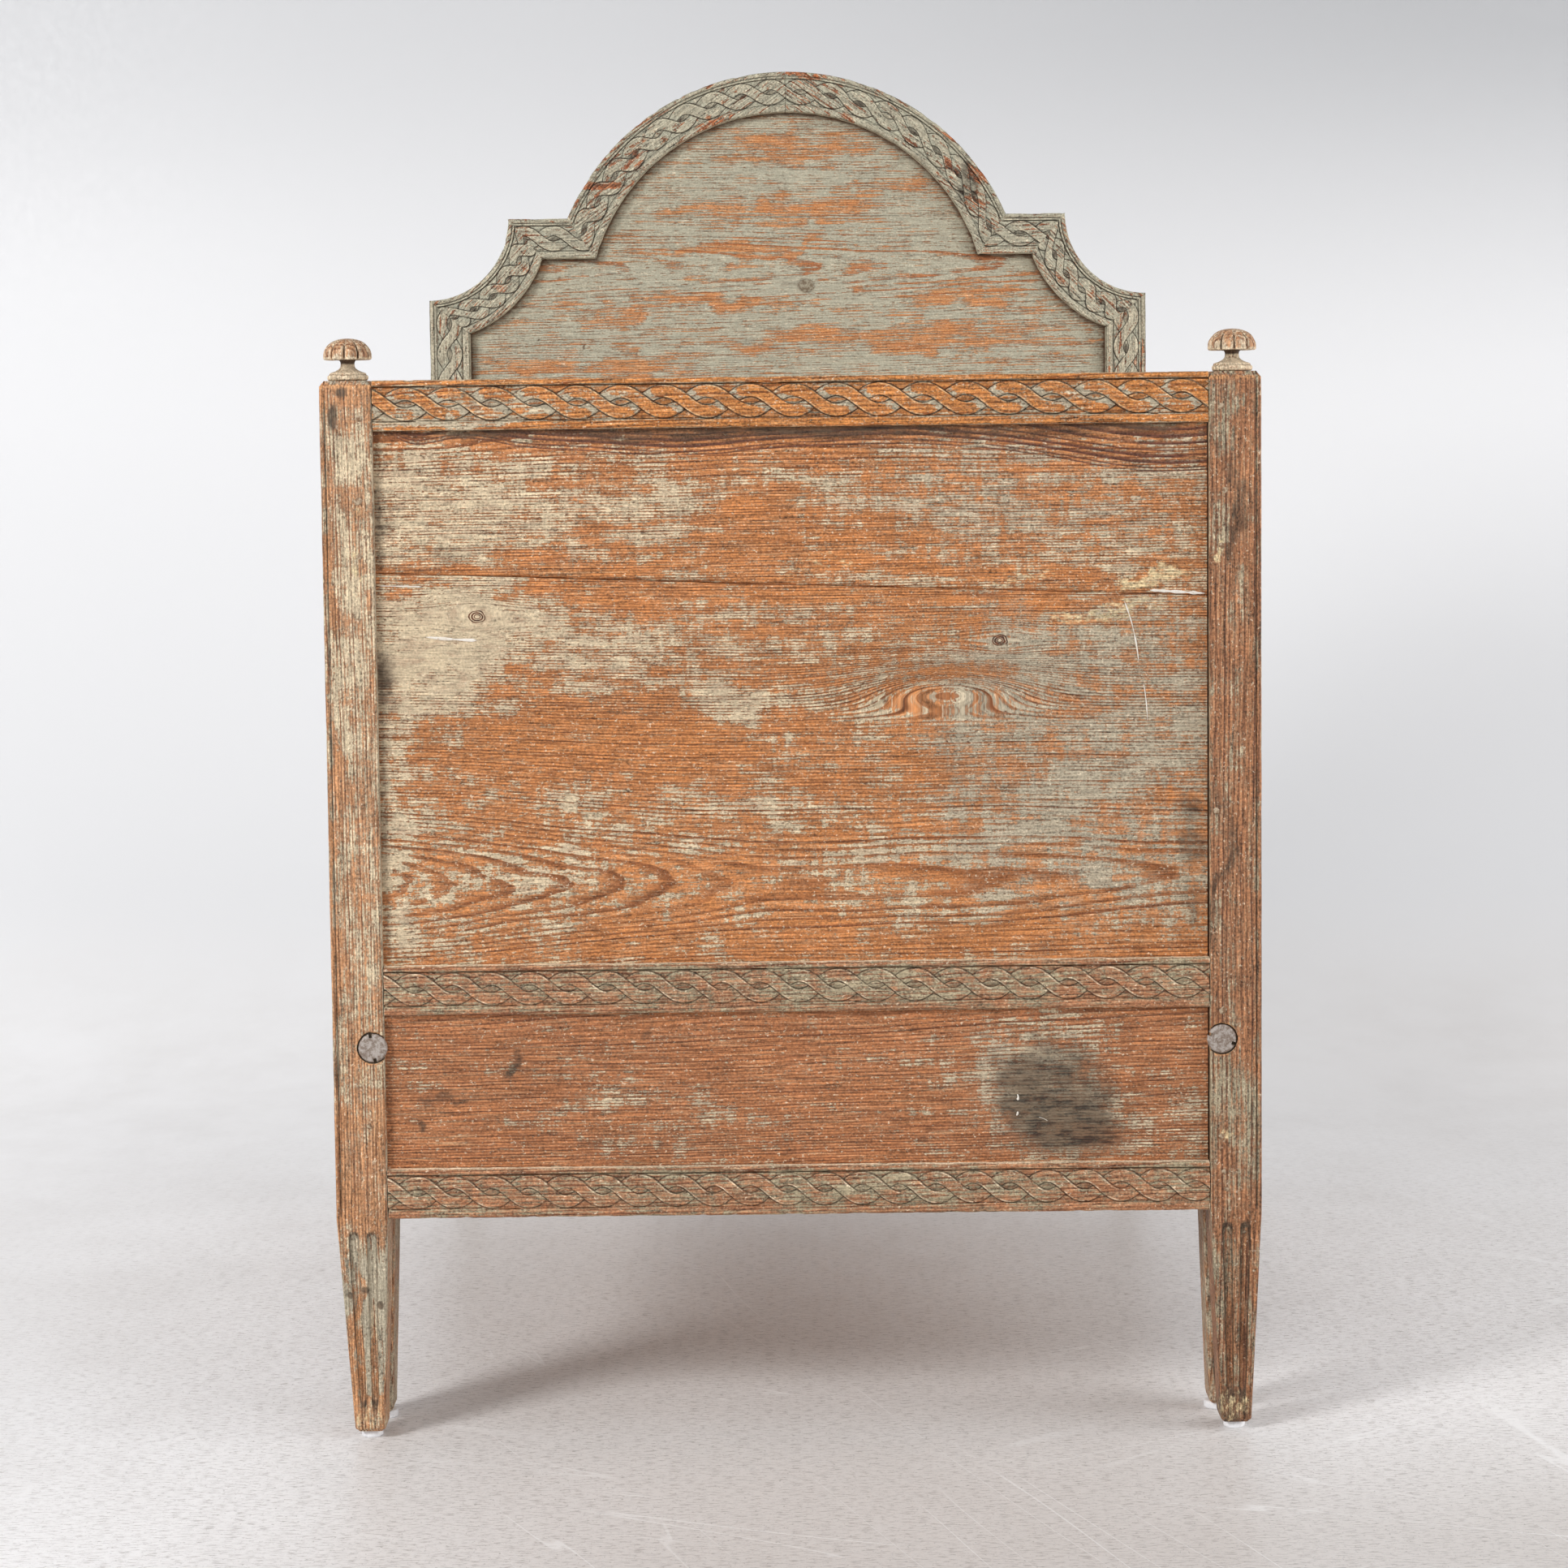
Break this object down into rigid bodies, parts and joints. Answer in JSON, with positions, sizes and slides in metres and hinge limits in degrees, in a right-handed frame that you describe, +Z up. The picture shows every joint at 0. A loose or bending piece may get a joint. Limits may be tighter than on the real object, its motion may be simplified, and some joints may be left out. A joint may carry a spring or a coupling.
{
  "type": "bed frame",
  "caption": "Pine bed frame with an arched carved headboard and a panelled footboard on fluted legs; the foot section draws out along the side rails.",
  "frame": {"origin": "on the floor, under the middle of the closed bed's box", "axes": "+Z up, +Y from the foot end to the head end, +X to the right as seen from the foot end"},
  "size_m": [0.95, 1.1, 1.5066],
  "materials": {
    "painted_pine": "old grey-green paint scraped back to orange-brown pine",
    "bare_pine": "bare aged pine",
    "white_pad": "white, matt",
    "painted_iron": "forged iron with worn grey paint"
  },
  "bodies": {
    "head_section": {"head_post_left": "painted_pine", "head_post_right": "painted_pine", "crest_cove_left": "painted_pine", "crest_cove_right": "painted_pine", "crest_ear_left": "painted_pine", "crest_ear_right": "painted_pine", "crest_arch_left": "painted_pine", "crest_arch_right": "painted_pine", "head_side_rail_left": "painted_pine", "head_side_rail_right": "painted_pine", "middle_leg_left": "painted_pine", "middle_leg_right": "painted_pine", "head_bottom_rail": "painted_pine", "head_board_lower": "painted_pine", "head_board_middle": "painted_pine", "head_board_upper": "painted_pine", "crest_board": "painted_pine", "arch_board": "painted_pine", "runner_left": "bare_pine", "runner_right": "bare_pine", "middle_cross_rail": "bare_pine", "head_ledger": "bare_pine", "fixed_slat_1": "bare_pine", "fixed_slat_2": "bare_pine", "fixed_slat_3": "bare_pine", "fixed_slat_4": "bare_pine", "fixed_slat_5": "bare_pine", "head_pad_left": "white_pad", "head_pad_right": "white_pad", "middle_pad_left": "white_pad", "middle_pad_right": "white_pad"},
    "foot_section": {"foot_post_left": "painted_pine", "foot_post_right": "painted_pine", "finial_left": "painted_pine", "finial_right": "painted_pine", "foot_top_rail": "painted_pine", "foot_middle_rail": "painted_pine", "foot_bottom_rail": "painted_pine", "foot_board_upper": "painted_pine", "foot_board_main": "painted_pine", "foot_board_lower": "painted_pine", "foot_side_rail_left": "bare_pine", "foot_side_rail_right": "bare_pine", "foot_ledger": "bare_pine", "tail_batten": "bare_pine", "sliding_slat_1": "bare_pine", "sliding_slat_2": "bare_pine", "sliding_slat_3": "bare_pine", "sliding_slat_4": "bare_pine", "foot_pad_left": "white_pad", "foot_pad_right": "white_pad", "bed_bolt_left": "painted_iron", "bed_bolt_right": "painted_iron", "bed_nut_left": "painted_iron", "bed_nut_right": "painted_iron"}
  },
  "joints": [
    {"name": "pull_out", "type": "slide", "parent": "head_section", "child": "foot_section", "axis": [0, -1, 0], "range_m": [0, 0.76]}
  ]
}
